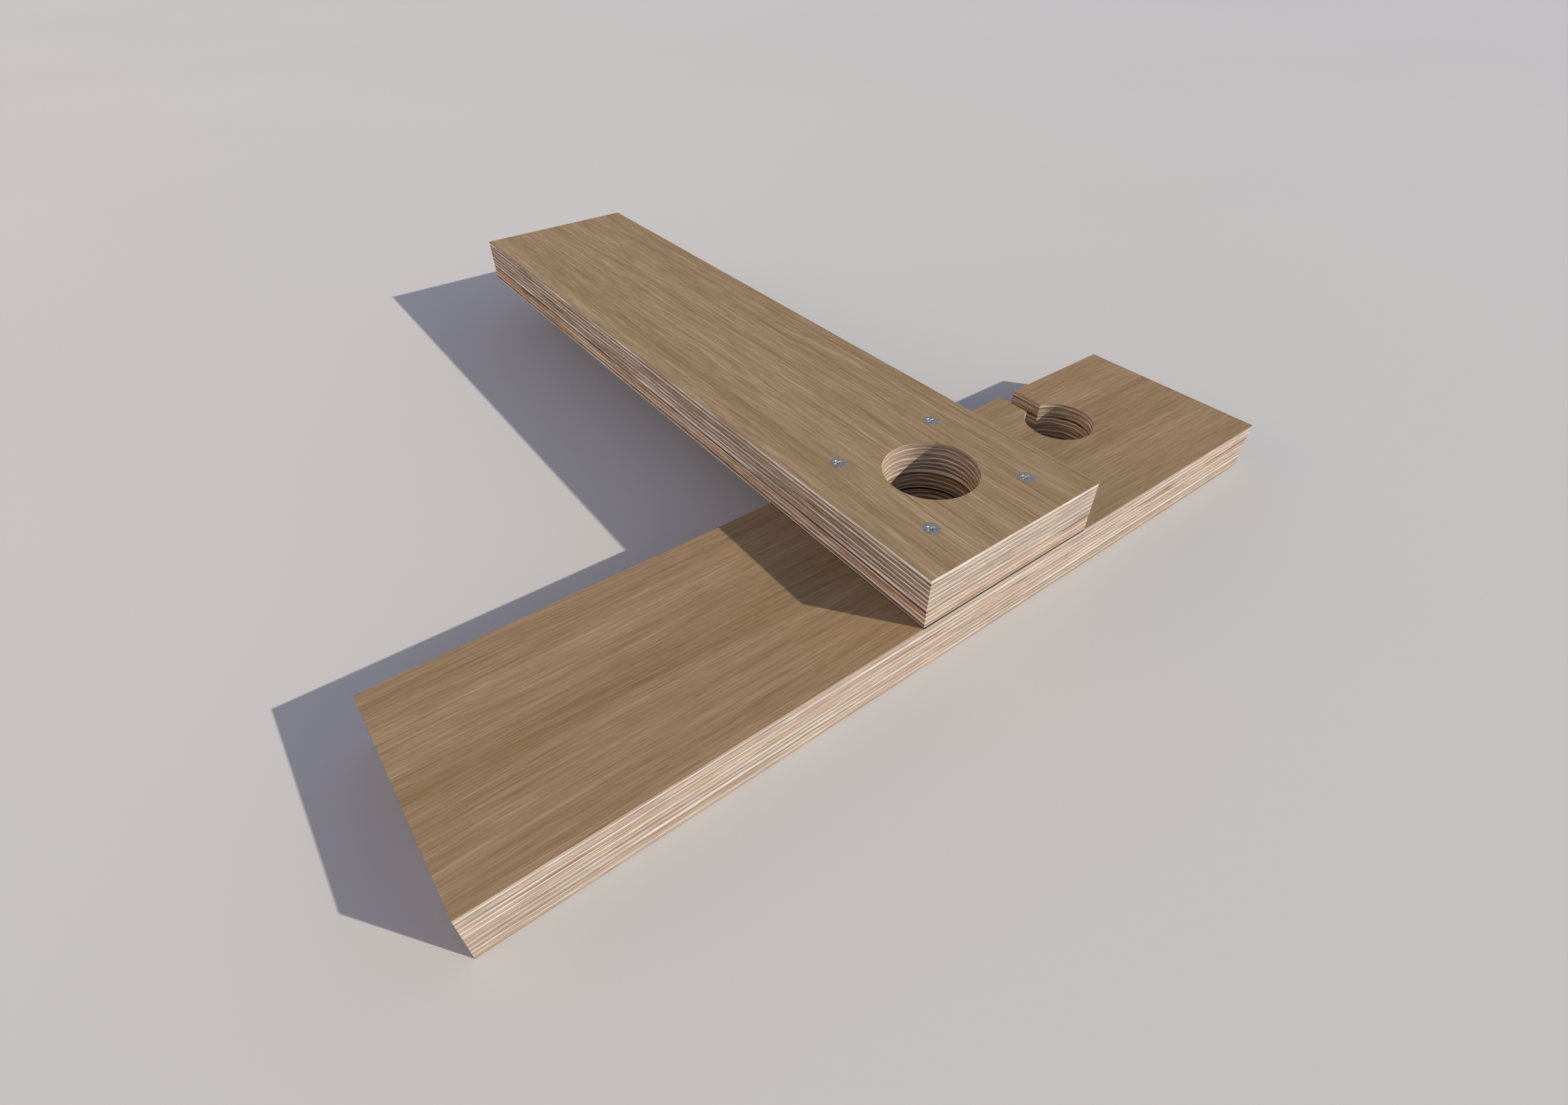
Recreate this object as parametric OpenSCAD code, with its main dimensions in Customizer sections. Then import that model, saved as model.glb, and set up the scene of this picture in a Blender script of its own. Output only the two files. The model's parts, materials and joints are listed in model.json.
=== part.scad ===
// T-shaped guide jig for a hand router: a fence board screwed across a crosspiece board.
// The origin is on the bench, on the axis of the hanging hole, with X along the crosspiece,
// Y along the fence and Z up. All sizes are in millimetres.

/* [Boards] */
// Thickness of both plywood boards
board_t = 18; // [15:0.5:30]
// Width of the crosspiece, from its near edge to the stop edge that meets the work
crosspiece_w = 70; // [64:1:120]
// Length of the crosspiece to the left of the hanging hole
crosspiece_left = 165; // [60:1:300]
// Length of the crosspiece to the right of the hanging hole
crosspiece_right = 135; // [115:1:300]
// Width of the fence
fence_w = 70; // [64:1:84]
// How far the fence reaches past the stop edge, over the work
fence_reach = 230; // [100:1:500]

/* [Hanging hole] */
// Diameter of the hole through both boards
hanging_hole_d = 30; // [12:1:36]

/* [Cutter keyhole] */
// Distance from the guide edge of the fence to the line of the cutter, half a router base
cutter_offset = 45; // [40:1:50]
// Diameter of the round end of the keyhole
keyhole_d = 25; // [14:1:28]
// Distance from the stop edge to the centre of the round end
keyhole_setback = 25; // [18:1:45]
// Width of the slot that the cutter makes
slot_w = 8; // [4:0.5:12]

/* [Screws] */
// Distance from the middle of a screw to the edges of the joint, where the boards cross
screw_edge = 15; // [8:1:16]
// Depth that a screw reaches into the crosspiece
screw_bite = 12; // [6:1:12]
// Diameter over the thread
thread_d = 3; // [2.5:0.1:3.5]
// Diameter of the core between the threads
core_d = 1.9; // [1.4:0.1:1.9]
// Diameter of the plain shank under the head
shank_d = 2.2; // [2:0.1:2.4]
// Length from the face of the head to the start of the thread
shank_l = 10; // [6:1:14]
// Length of the pointed tip
tip_l = 3.5; // [2:0.5:5]
// Diameter of the head
head_d = 5.3; // [5:0.1:7]
// Full angle of the countersunk head
head_angle = 90; // [80:1:100]
// Space around the thread in the hole through the fence
clearance = 0.1; // [0.05:0.05:0.3]
// Space around the core in the pilot hole in the crosspiece
pilot_clearance = 0.1; // [0.05:0.05:0.3]
// Depth of the pilot hole below the tip of the screw
pilot_spare = 1; // [0.5:0.5:2]

/* [Cross recess] */
// Span of the recess across two opposite wings
recess_span = 2.8; // [2.4:0.1:3.2]
// Width of a wing at the face of the head
wing_w = 0.6; // [0.4:0.05:0.8]
// Depth of the wings
wing_depth = 1.3; // [0.8:0.1:1.5]
// Angle between the end wall of a wing and the screw's axis
wing_angle = 26.5; // [20:0.5:28]
// Angle between the side wall of a wing and the screw's axis
flank_angle = 5.75; // [0:0.25:6]
// Diameter of the tapered middle of the recess at the face of the head
recess_core_d = 1.5; // [1.2:0.05:1.7]

/* [Hidden] */
$fn = 96;
// Extra length of a cutting solid past the face that it cuts
past = 1;
stop_y = crosspiece_w / 2;
near_y = -crosspiece_w / 2;
guide_x = fence_w / 2;
joint_z = board_t;
top_z = 2 * board_t;
fence_l = crosspiece_w + fence_reach;
cutter_x = guide_x + cutter_offset;
keyhole_y = stop_y - keyhole_setback;
screw_x = fence_w / 2 - screw_edge;
screw_y = crosspiece_w / 2 - screw_edge;
// A screw passes through the fence and on into the crosspiece
screw_l = board_t + screw_bite;
// The cone under the head runs from the head's rim down to the shank
head_slope = tan(head_angle / 2);
head_h = (head_d - shank_d) / 2 / head_slope;
tip_z = -screw_l;
// The tip ends in a small flat, not in a mathematical point
tip_d = 0.3;
thread_hole_d = thread_d + 2 * clearance;
sink_h = (head_d - thread_hole_d) / 2 / head_slope;
pilot_d = core_d + 2 * pilot_clearance;
pilot_bottom_z = joint_z - screw_bite - pilot_spare;
recess_bottom_half = recess_span / 2 - wing_depth * tan(wing_angle);
wing_bottom_w = wing_w - 2 * wing_depth * tan(flank_angle);

// A board lies flat, with its corner at [x, y, z]
module board(corner, length_x, length_y) {
    translate(corner)
        cube([length_x, length_y, board_t]);
}

// The four places of the screws, each with its children
module at_each_screw() {
    for (side = [-1, 1])
        for (end = [-1, 1])
            translate([side * screw_x, end * screw_y, 0])
                children();
}

// One hole down through both boards, cut from each in turn
module hanging_hole() {
    translate([0, 0, -past])
        cylinder(h = top_z + 2 * past, d = hanging_hole_d);
}

// The round hole with its slot out to the stop edge
module keyhole() {
    translate([cutter_x, keyhole_y, -past])
        cylinder(h = board_t + 2 * past, d = keyhole_d);
    translate([cutter_x - slot_w / 2, keyhole_y, -past])
        cube([slot_w, keyhole_setback + past, board_t + 2 * past]);
}

module crosspiece() {
    color("tan")
        difference() {
            board([-crosspiece_left, near_y, 0], crosspiece_left + crosspiece_right, crosspiece_w);
            hanging_hole();
            keyhole();
            at_each_screw()
                translate([0, 0, pilot_bottom_z])
                    cylinder(h = joint_z - pilot_bottom_z + past, d = pilot_d);
        }
}

// The hole for one screw in the fence: a straight hole for the thread, opened out to seat the head
module screw_hole() {
    translate([0, 0, joint_z - past])
        cylinder(h = board_t + 2 * past, d = thread_hole_d);
    translate([0, 0, top_z - sink_h])
        cylinder(h = sink_h, d1 = thread_hole_d, d2 = head_d);
}

module fence() {
    color("burlywood")
        difference() {
            board([-fence_w / 2, near_y, joint_z], fence_w, fence_l);
            hanging_hole();
            at_each_screw()
                screw_hole();
        }
}

// Outline of half a screw, turned about its axis: head cone, plain shank, core and tip
module screw_outline() {
    polygon([
        [0, 0],
        [head_d / 2, 0],
        [shank_d / 2, -head_h],
        [shank_d / 2, -shank_l],
        [core_d / 2, -shank_l - (shank_d - core_d) / 2],
        [core_d / 2, tip_z + tip_l],
        [tip_d / 2, tip_z],
        [0, tip_z]
    ]);
}

// Cross section of a tapered slab, wide at the face of the head and narrow at its bottom
module taper(top_half, bottom_half) {
    slope = (top_half - bottom_half) / wing_depth;
    polygon([
        [-bottom_half, -wing_depth],
        [bottom_half, -wing_depth],
        [top_half + slope * past, past],
        [-top_half - slope * past, past]
    ]);
}

// Two opposite wings of the recess, tapered at their ends and on their flanks
module wing_pair() {
    intersection() {
        rotate([90, 0, 0])
            linear_extrude(height = head_d, center = true)
                taper(recess_span / 2, recess_bottom_half);
        rotate([90, 0, 90])
            linear_extrude(height = head_d, center = true)
                taper(wing_w / 2, wing_bottom_w / 2);
    }
}

// The cross recess, with the tapered middle that guides the driver in
module cross_recess() {
    wing_pair();
    rotate([0, 0, 90])
        wing_pair();
    translate([0, 0, -wing_depth])
        cylinder(h = wing_depth, d1 = wing_w, d2 = recess_core_d);
    cylinder(h = past, d = recess_core_d);
}

// One screw, with the face of its head flush with the top of the fence
module screw(side, end) {
    color("slategray")
        translate([side * screw_x, end * screw_y, top_z])
            difference() {
                rotate_extrude()
                    screw_outline();
                cross_recess();
            }
}

crosspiece();
fence();
screw(-1, -1);  // screw_near_left
screw(1, -1);  // screw_near_right
screw(-1, 1);  // screw_far_left
screw(1, 1);  // screw_far_right
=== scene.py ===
# %% [markdown]
# # A plywood router jig
#
# The jig is two plywood boards crossed like a T and held by four wood screws. A joiner holds the
# lower board, the crosspiece, against the edge of the work, runs a hand router along the upper
# board, the fence, and lets the cutter out through the keyhole slot. This lesson loads the
# measured construction model, dresses it in real materials, models the screws in full, and sets
# up a camera and a plain studio.
#
# Everything is in metres and in one frame: the origin is on the bench under the hanging hole,
# X runs along the crosspiece, Y along the fence and Z up.

# %% Load the construction model
import json
import math
import bpy
from mathutils import Matrix, Vector

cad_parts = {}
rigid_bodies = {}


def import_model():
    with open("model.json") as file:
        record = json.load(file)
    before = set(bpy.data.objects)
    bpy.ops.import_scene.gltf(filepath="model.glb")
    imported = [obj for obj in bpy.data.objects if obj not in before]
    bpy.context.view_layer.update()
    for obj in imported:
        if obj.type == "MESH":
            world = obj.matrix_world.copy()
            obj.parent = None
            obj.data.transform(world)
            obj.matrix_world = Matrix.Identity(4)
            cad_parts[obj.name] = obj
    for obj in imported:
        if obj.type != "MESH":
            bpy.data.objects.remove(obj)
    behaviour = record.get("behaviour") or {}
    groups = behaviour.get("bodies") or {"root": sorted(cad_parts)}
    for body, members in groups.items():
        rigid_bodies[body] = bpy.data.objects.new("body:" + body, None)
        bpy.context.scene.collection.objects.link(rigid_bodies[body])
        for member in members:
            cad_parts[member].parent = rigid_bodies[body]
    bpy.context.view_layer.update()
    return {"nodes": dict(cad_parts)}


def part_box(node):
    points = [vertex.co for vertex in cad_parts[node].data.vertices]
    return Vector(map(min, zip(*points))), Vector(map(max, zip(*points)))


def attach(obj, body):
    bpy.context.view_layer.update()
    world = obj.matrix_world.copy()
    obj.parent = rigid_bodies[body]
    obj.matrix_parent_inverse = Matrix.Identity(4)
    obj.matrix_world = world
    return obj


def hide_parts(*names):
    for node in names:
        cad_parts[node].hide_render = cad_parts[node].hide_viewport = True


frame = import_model()
print("pieces:", sorted(frame["nodes"]))

# %% [markdown]
# Most of the sizes below are read from the model instead of being typed again, so that the looks
# follow the construction: the thickness of a board, the line where the two boards meet, and
# where the crossing joint begins and ends. The materials think in millimetres, as a joiner does.

# %% Sizes taken from the model
MM = 0.001
cross_low, cross_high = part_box("crosspiece")
fence_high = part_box("fence")[1]
JOINT_MM = cross_high.z / MM
TOP_MM = fence_high.z / MM
BOARD_MM = (cross_high.z - cross_low.z) / MM
JOINT_HALF_X = fence_high.x / MM
JOINT_HALF_Y = cross_high.y / MM
print("board thickness in mm:", round(BOARD_MM, 2))
print("half sizes of the joint in mm:", round(JOINT_HALF_X, 2), round(JOINT_HALF_Y, 2))

# %% [markdown]
# ## Camera
#
# The picture was taken close to the jig with a wide lens, so the near end of the crosspiece looms
# large. Only the right distance gives that perspective: the eye stands 175 mm above the bench,
# just off the near left corner, and looks 41 degrees down. An 18 mm lens on a 36 mm wide sensor
# sees exactly 90 degrees across.

# %% Place the camera
EYE = Vector((-0.15360, -0.12858, 0.17479))
LOOK_DOWN_DEGREES = 41.43
HEADING_DEGREES = 52.84
LENS_MM = 18.0
SENSOR_MM = 36.0
SEES_FROM = 0.005
SEES_TO = 50.0
bpy.ops.object.camera_add(location=EYE)
camera = bpy.context.object
camera.name = "eye"
camera.rotation_euler = (
    math.radians(90 - LOOK_DOWN_DEGREES),
    0.0,
    math.radians(HEADING_DEGREES - 90),
)
camera.data.lens = LENS_MM
camera.data.sensor_width = SENSOR_MM
camera.data.clip_start = SEES_FROM
camera.data.clip_end = SEES_TO
bpy.context.scene.camera = camera
bpy.context.scene.view_settings.view_transform = "Standard"
print("camera", [round(v, 4) for v in camera.location], "lens", LENS_MM)

# %% [markdown]
# ## Building materials from nodes
#
# A material is a small graph: each node takes numbers, colours or places and gives new ones.
# A few short helpers keep the graphs below readable. Each takes sockets or plain numbers and
# returns the socket to use next. The first ones start a material, link a value to a socket, and
# do arithmetic.

# %% Helpers for numbers
def new_material(name):
    """A material with its graph emptied down to the shader and the output."""
    material = bpy.data.materials.new(name)
    material.use_nodes = True
    tree = material.node_tree
    tree.nodes.clear()
    shader = tree.nodes.new("ShaderNodeBsdfPrincipled")
    output = tree.nodes.new("ShaderNodeOutputMaterial")
    tree.links.new(shader.outputs["BSDF"], output.inputs["Surface"])
    return material, tree, shader


def feed(tree, socket, value):
    """Gives an input either a link from another node or a plain value."""
    if isinstance(value, bpy.types.NodeSocket):
        tree.links.new(value, socket)
    elif value is not None:
        socket.default_value = value


def maths(tree, operation, first, second=None, third=None):
    """One step of arithmetic."""
    node = tree.nodes.new("ShaderNodeMath")
    node.operation = operation
    for socket, value in zip(node.inputs, (first, second, third)):
        feed(tree, socket, value)
    return node.outputs["Value"]


def ease(tree, value, start, end, low=0.0, high=1.0):
    """Goes smoothly from low to high as the value goes from start to end."""
    node = tree.nodes.new("ShaderNodeMapRange")
    node.interpolation_type = "SMOOTHSTEP"
    for name, given in (
        ("Value", value),
        ("From Min", start),
        ("From Max", end),
        ("To Min", low),
        ("To Max", high),
    ):
        feed(tree, node.inputs[name], given)
    return node.outputs["Result"]


print("helpers for numbers ready")

# %% [markdown]
# Colours are written as a screen shows them, because that is how one reads them off a picture,
# and turned into the light values that Blender works in. A ramp turns a number into a colour,
# and a blend lays one colour over another.

# %% Helpers for colours
def rgb(red, green, blue):
    """A colour as a screen shows it, 0 to 255, turned into light values."""
    values = []
    for channel in (red, green, blue):
        c = channel / 255
        values.append(c / 12.92 if c <= 0.04045 else ((c + 0.055) / 1.055) ** 2.4)
    return (*values, 1.0)


def blend(tree, factor, first, second, mode="MIX"):
    """Mixes two colours."""
    node = tree.nodes.new("ShaderNodeMix")
    node.data_type = "RGBA"
    node.blend_type = mode
    feed(tree, node.inputs["Factor"], factor)
    feed(tree, node.inputs["A"], first)
    feed(tree, node.inputs["B"], second)
    return node.outputs["Result"]


def ramp(tree, factor, stops):
    """Runs a number through a list of (place, colour) stops."""
    node = tree.nodes.new("ShaderNodeValToRGB")
    elements = node.color_ramp.elements
    while len(elements) < len(stops):
        elements.new(0.5)
    for element, (place, colour) in zip(elements, stops):
        element.position = place
        element.color = colour
    feed(tree, node.inputs["Fac"], factor)
    return node.outputs["Color"]


print("helpers for colours ready")

# %% [markdown]
# Every pattern reads Object coordinates, which here are the jig's own metres, so that the grain
# stays in the wood however the picture is framed. A pattern is noise that is stretched along
# the grain, and a shift gives each use of it another part of the noise. The last helper gives a
# pattern some relief, by letting its height tilt the surface for the light.

# %% Helpers for patterns
def split(tree, place):
    """The three numbers of a place."""
    node = tree.nodes.new("ShaderNodeSeparateXYZ")
    feed(tree, node.inputs["Vector"], place)
    return node.outputs["X"], node.outputs["Y"], node.outputs["Z"]


def join(tree, x, y, z):
    """A place from its three numbers."""
    node = tree.nodes.new("ShaderNodeCombineXYZ")
    for socket, value in zip(node.inputs, (x, y, z)):
        feed(tree, socket, value)
    return node.outputs["Vector"]


def object_millimetres(tree, turn_degrees=0.0):
    """Object coordinates in millimetres, turned about Z until the first runs with the grain."""
    source = tree.nodes.new("ShaderNodeTexCoord")
    node = tree.nodes.new("ShaderNodeMapping")
    feed(tree, node.inputs["Vector"], source.outputs["Object"])
    node.inputs["Scale"].default_value = (1 / MM,) * 3
    node.inputs["Rotation"].default_value = (0.0, 0.0, math.radians(turn_degrees))
    return node.outputs["Vector"]


def stretch(tree, place, scale, shift=(0.0, 0.0, 0.0)):
    """Squeezes or stretches space before a pattern is looked up in it."""
    node = tree.nodes.new("ShaderNodeMapping")
    feed(tree, node.inputs["Vector"], place)
    node.inputs["Scale"].default_value = scale
    node.inputs["Location"].default_value = shift
    return node.outputs["Vector"]


def moved(shift, x=0.0, y=0.0):
    """A shift moved on, so that a second noise does not repeat the first."""
    return (shift[0] + x, shift[1] + y, shift[2])


def noise(tree, place, scale, shift=(0.0, 0.0, 0.0), detail=2.0, rough=0.5):
    """Soft random values about 0.5, at so many blotches per millimetre along each axis."""
    node = tree.nodes.new("ShaderNodeTexNoise")
    feed(tree, node.inputs["Vector"], stretch(tree, place, scale, shift))
    node.inputs["Scale"].default_value = 1.0
    node.inputs["Detail"].default_value = detail
    node.inputs["Roughness"].default_value = rough
    return node.outputs["Fac"]


def emboss(tree, shader, height, strength, depth_mm):
    """Lets a height tilt the surface for the light, without moving it."""
    bump = tree.nodes.new("ShaderNodeBump")
    bump.inputs["Strength"].default_value = strength
    bump.inputs["Distance"].default_value = depth_mm * MM
    feed(tree, bump.inputs["Height"], height)
    feed(tree, shader.inputs["Normal"], bump.outputs["Normal"])


print("helpers for patterns ready")

# %% [markdown]
# ## The face of the plywood
#
# The faces are a thin sliced veneer: straight, fine, low in contrast, running the whole length of
# each board. The main pattern is one noise stretched about forty times along the grain, with
# seven layers of ever finer copies that are almost as strong as the first, so that broad bands
# and thin growth lines weigh about the same, as they do in a real sheet. A slow sideways drift
# bends them together. Short fibres and dark pores are the last touch.

# %% The veneer's colours and scales
GRAIN_DARK = rgb(119, 97, 67)
GRAIN_BROWN = rgb(138, 115, 86)
GRAIN_TAN = rgb(151, 128, 100)
GRAIN_PALE = rgb(173, 151, 121)
GRAIN_STOPS = [(0.37, GRAIN_DARK), (0.46, GRAIN_BROWN), (0.54, GRAIN_TAN), (0.63, GRAIN_PALE)]
PORE = rgb(108, 85, 58)
PORE_RANGE = (0.60, 0.72)
PORE_STRENGTH = 0.42
PORE_RISE = -0.8
FIBRE_SHARE = 0.48
DRIFT_MM = 5.0
# Blotches per millimetre along the grain, across it and through the sheet
DRIFT_SCALE = (0.008, 0.020, 0.05)
GRAIN_SCALE = (0.0010, 0.042, 0.1)
FIBRE_SCALE = (0.045, 1.5, 0.1)
PORE_SCALE = (0.10, 2.8, 0.1)
BAND_MM = 1 / GRAIN_SCALE[1]
PORE_MM = 1 / PORE_SCALE[1]
print("veneer: bands of", round(BAND_MM), "mm down to pores", round(PORE_MM, 2), "mm wide")

# %% [markdown]
# Grain, fibres and pores are all looked up along the drifting lines. Grain and fibres are weighed
# against each other and run through a ramp, from the dark growth lines to the pale wood between
# them, and the pores go on top. How much contrast the sheet has is left to each board.

# %% Paint the veneer
def veneer(tree, place, contrast, shift):
    """Returns the face colour and a height for the bump."""
    along, across, up = split(tree, place)
    drift = noise(tree, place, DRIFT_SCALE, shift, detail=2.0)
    wander = maths(tree, "MULTIPLY_ADD", drift, DRIFT_MM, across)
    lines = join(tree, along, wander, up)
    grain = noise(tree, lines, GRAIN_SCALE, shift, detail=7.0, rough=0.90)
    fibre = noise(tree, lines, FIBRE_SCALE, shift, detail=3.0, rough=0.8)
    grain_part = maths(tree, "MULTIPLY", grain, 1 - FIBRE_SHARE)
    tone = maths(tree, "MULTIPLY_ADD", fibre, FIBRE_SHARE, grain_part)
    tone = maths(tree, "MULTIPLY_ADD", tone, contrast, 0.5 - 0.5 * contrast)
    colour = ramp(tree, tone, GRAIN_STOPS)
    pores = noise(tree, lines, PORE_SCALE, shift, detail=1.0)
    pore_mask = ease(tree, pores, *PORE_RANGE, 0.0, PORE_STRENGTH)
    colour = blend(tree, pore_mask, colour, PORE)
    height = maths(tree, "MULTIPLY_ADD", pore_mask, PORE_RISE, fibre)
    return colour, height


print("veneer runs", len(GRAIN_STOPS), "tones from dark to pale")

# %% [markdown]
# ## The edge of the plywood
#
# A cut edge shows the plies, about 1.7 mm each: a pale line where a ply's grain runs with the
# edge, then a duller band where it ends in the edge. Every sixth pale line is a thick one, and
# here and there a thin dark line of glue shows just below a pale one. The two boards look cut
# from different sheets, so each has a table of its own: how deep the first thick line lies, the
# colours of the dull bands on the way down, and how deep and how wide a rusty streak is. The
# table also says how the board's face is tinted and which parts of the noise it uses.

# %% The plies' colours
PLY_MM = 1.7
BROAD_EVERY = 6
PLY_CREAM = rgb(197, 185, 174)
PLY_CLAY = rgb(155, 139, 125)
PLY_SAND = rgb(166, 147, 129)
PLY_PEACH = rgb(168, 144, 123)
PLY_BROWN = rgb(141, 119, 98)
PLY_RUST = rgb(122, 86, 62)
# The dark painted as shade in a gap of an inner ply
PLY_GAP_SHADE = rgb(66, 48, 37)
PLY_GLUE = rgb(104, 79, 60)
PLY_MIDDLE = rgb(160, 151, 152)
FENCE_PLIES = {
    "first_broad": 0.62,
    "bands": [
        (0.0, PLY_CLAY),
        (11.2, PLY_CLAY),
        (11.8, PLY_BROWN),
        (12.6, PLY_PEACH),
        (15.8, PLY_PEACH),
        (16.6, PLY_BROWN),
        (17.5, PLY_CLAY),
    ],
    "rust": (12.1, 1.1),
    "edge_shift": (41.0, 7.0, 23.0),
    "face_contrast": 1.12,
    "face_tint": (1.0, 1.0, 1.0, 1.0),
    "face_shift": (41.0, 7.0, 23.0),
}
CROSSPIECE_PLIES = {
    "first_broad": 3.0,
    "bands": [
        (0.0, PLY_SAND),
        (2.4, PLY_CLAY),
        (4.2, PLY_CLAY),
        (5.2, PLY_PEACH),
        (8.8, PLY_SAND),
        (10.0, PLY_CLAY),
        (13.6, PLY_CLAY),
        (14.4, PLY_BROWN),
        (15.9, PLY_SAND),
        (17.0, PLY_CLAY),
    ],
    "rust": (6.2, 1.6),
    "edge_shift": (3.0, 11.0, 5.0),
    "face_contrast": 0.86,
    "face_tint": (0.955, 0.925, 0.905, 1.0),
    "face_shift": (3.0, 11.5, 5.0),
}
print("plies to a board:", round(BOARD_MM / PLY_MM))

# %% [markdown]
# The pattern is worked out from the depth below the top of the board, so it wraps round every
# cut alike: the long edges, the ends, the hanging hole, the keyhole and its slot. Slow noise
# makes the plies rise and fall a little. A round wall cuts them at every angle, so its lines
# waver more, by as much as the wall is turned away from the board's own sides. The depth then
# tells which ply it is and how far below that ply's middle a place lies. Each ply also gets
# places of its own for noise, well apart from those of the next.

# %% Find the ply
WANDER_SCALE = (0.014, 0.014, 0.12)
WANDER_MM = 0.8
WAVER_SCALE = (0.09, 0.09, 0.25)
WAVER_MM = 5.0
PLY_SPACING = 7.3


def ply_depth(tree, place, bend, top_mm, shift):
    """Depth below the board's top in millimetres, as the uneven plies have it."""
    depth = maths(tree, "SUBTRACT", top_mm, split(tree, place)[2])
    wander = noise(tree, place, WANDER_SCALE, shift, detail=2.0)
    depth = maths(tree, "SUBTRACT", depth, WANDER_MM / 2)
    depth = maths(tree, "MULTIPLY_ADD", wander, WANDER_MM, depth)
    waver = noise(tree, place, WAVER_SCALE, shift, detail=1.0)
    waver = maths(tree, "SUBTRACT", waver, 0.5)
    waver = maths(tree, "MULTIPLY", waver, maths(tree, "MULTIPLY", bend, WAVER_MM))
    return maths(tree, "ADD", depth, waver)


def count_plies(tree, place, depth, first_broad):
    """Returns the ply's number, millimetres below its middle, and its own places for noise."""
    along, across = split(tree, place)[:2]
    turn = maths(tree, "DIVIDE", maths(tree, "SUBTRACT", depth, first_broad), PLY_MM)
    turn = maths(tree, "ADD", turn, 0.5)
    ply = maths(tree, "FLOOR", turn)
    off_middle = maths(tree, "SUBTRACT", maths(tree, "FRACT", turn), 0.5)
    below = maths(tree, "MULTIPLY", off_middle, PLY_MM)
    ply_place = join(tree, along, across, maths(tree, "MULTIPLY", ply, PLY_SPACING))
    return ply, below, ply_place


print("a round wall wavers by up to", WAVER_MM / 4, "mm either way")

# %% [markdown]
# The lines come next. A pale line swells, thins and fades along the board. The glue line keeps a
# fixed way below it, and shows only in places. A rare short dark streak is a gap in an inner
# ply, between two pale lines; its dark is painted shade in the hollow, with a dip in the bump.

# %% Draw the lines in the edge
SWELL_SCALE = (0.03, 0.03, 1.0)
SWELL_MM = 0.44
THINNEST_MM = -0.05
BROAD_EXTRA_MM = 0.28
WHOLE_NUMBER_SLACK = 0.1
LINE_SOFTNESS_MM = 0.20
FADE_SCALE = (0.02, 0.02, 1.0)
FADE_RANGE = (0.36, 0.54)
FAINTEST_LINE = 0.3
GLUE_SCALE = (0.05, 0.05, 1.0)
GLUE_RANGE = (0.44, 0.62)
GLUE_STRENGTH = 0.7
GLUE_BELOW_MM = 0.14
GLUE_HALF_MM = (0.02, 0.13)
GAP_SCALE = (0.055, 0.055, 1.0)
GAP_RANGE = (0.735, 0.75)
GAP_STRENGTH = 0.9
GAP_OFF_MM = (0.55, 0.72)


def pale_line(tree, ply, off_centre, ply_place, shift):
    """Returns how pale a place is, and half the width of the pale line there."""
    swell = noise(tree, ply_place, SWELL_SCALE, shift, detail=3.0)
    broad = maths(tree, "FLOORED_MODULO", ply, float(BROAD_EVERY))
    broad = maths(tree, "COMPARE", broad, 0.0, WHOLE_NUMBER_SLACK)
    half = maths(tree, "MULTIPLY_ADD", swell, SWELL_MM, THINNEST_MM)
    half = maths(tree, "MULTIPLY_ADD", broad, BROAD_EXTRA_MM, half)
    line_end = maths(tree, "ADD", half, LINE_SOFTNESS_MM)
    pale = ease(tree, off_centre, half, line_end, 1.0, 0.0)
    fade = noise(tree, ply_place, FADE_SCALE, moved(shift, x=31), detail=3.0)
    fade = ease(tree, fade, *FADE_RANGE, FAINTEST_LINE, 1.0)
    return maths(tree, "MULTIPLY", pale, fade), half


def glue_line(tree, below, half, ply_place, shift):
    """How strongly the dark line of glue under a pale line shows."""
    off = maths(tree, "SUBTRACT", maths(tree, "SUBTRACT", below, half), GLUE_BELOW_MM)
    line = ease(tree, maths(tree, "ABSOLUTE", off), *GLUE_HALF_MM, 1.0, 0.0)
    here = noise(tree, ply_place, GLUE_SCALE, moved(shift, y=-21), detail=3.0)
    return maths(tree, "MULTIPLY", line, ease(tree, here, *GLUE_RANGE, 0.0, GLUE_STRENGTH))


def inner_gap(tree, off_centre, ply_place, shift):
    """How strongly the painted shade of a gap in an inner ply shows."""
    here = noise(tree, ply_place, GAP_SCALE, moved(shift, x=5, y=9), detail=1.0)
    off = ease(tree, off_centre, *GAP_OFF_MM)
    return maths(tree, "MULTIPLY", ease(tree, here, *GAP_RANGE, 0.0, GAP_STRENGTH), off)


print("pale lines up to", round(2 * (SWELL_MM + THINNEST_MM + BROAD_EXTRA_MM), 2), "mm wide")

# %% [markdown]
# Between the lines lies the dull band, in the colours of the board's table, with peach blotches
# and the rusty streak, which is a little stronger on a wall that faces left or right. Over
# everything go the fibres: long thin strands and a finer hatching, laid on softly so that
# they darken and lighten without hiding the colour.

# %% Paint the bands and the fibres
BLOTCH_SCALE = (0.035, 0.035, 1.0)
BLOTCH_RANGE = (0.42, 0.70)
BLOTCH_STRENGTH = 0.6
RUST_SCALE = (0.030, 0.030, 0.3)
RUST_RANGE = (0.50, 0.62)
RUST_STRENGTH = 0.9
RUST_ON_SIDES = 0.07
STRAND_SCALE = (0.022, 0.022, 2.0)
HATCH_SCALE = (0.16, 0.16, 6.0)
HATCH_SHARE = 0.45
STREAK_STOPS = [(0.36, rgb(58, 56, 54)), (0.64, rgb(236, 236, 236))]


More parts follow.
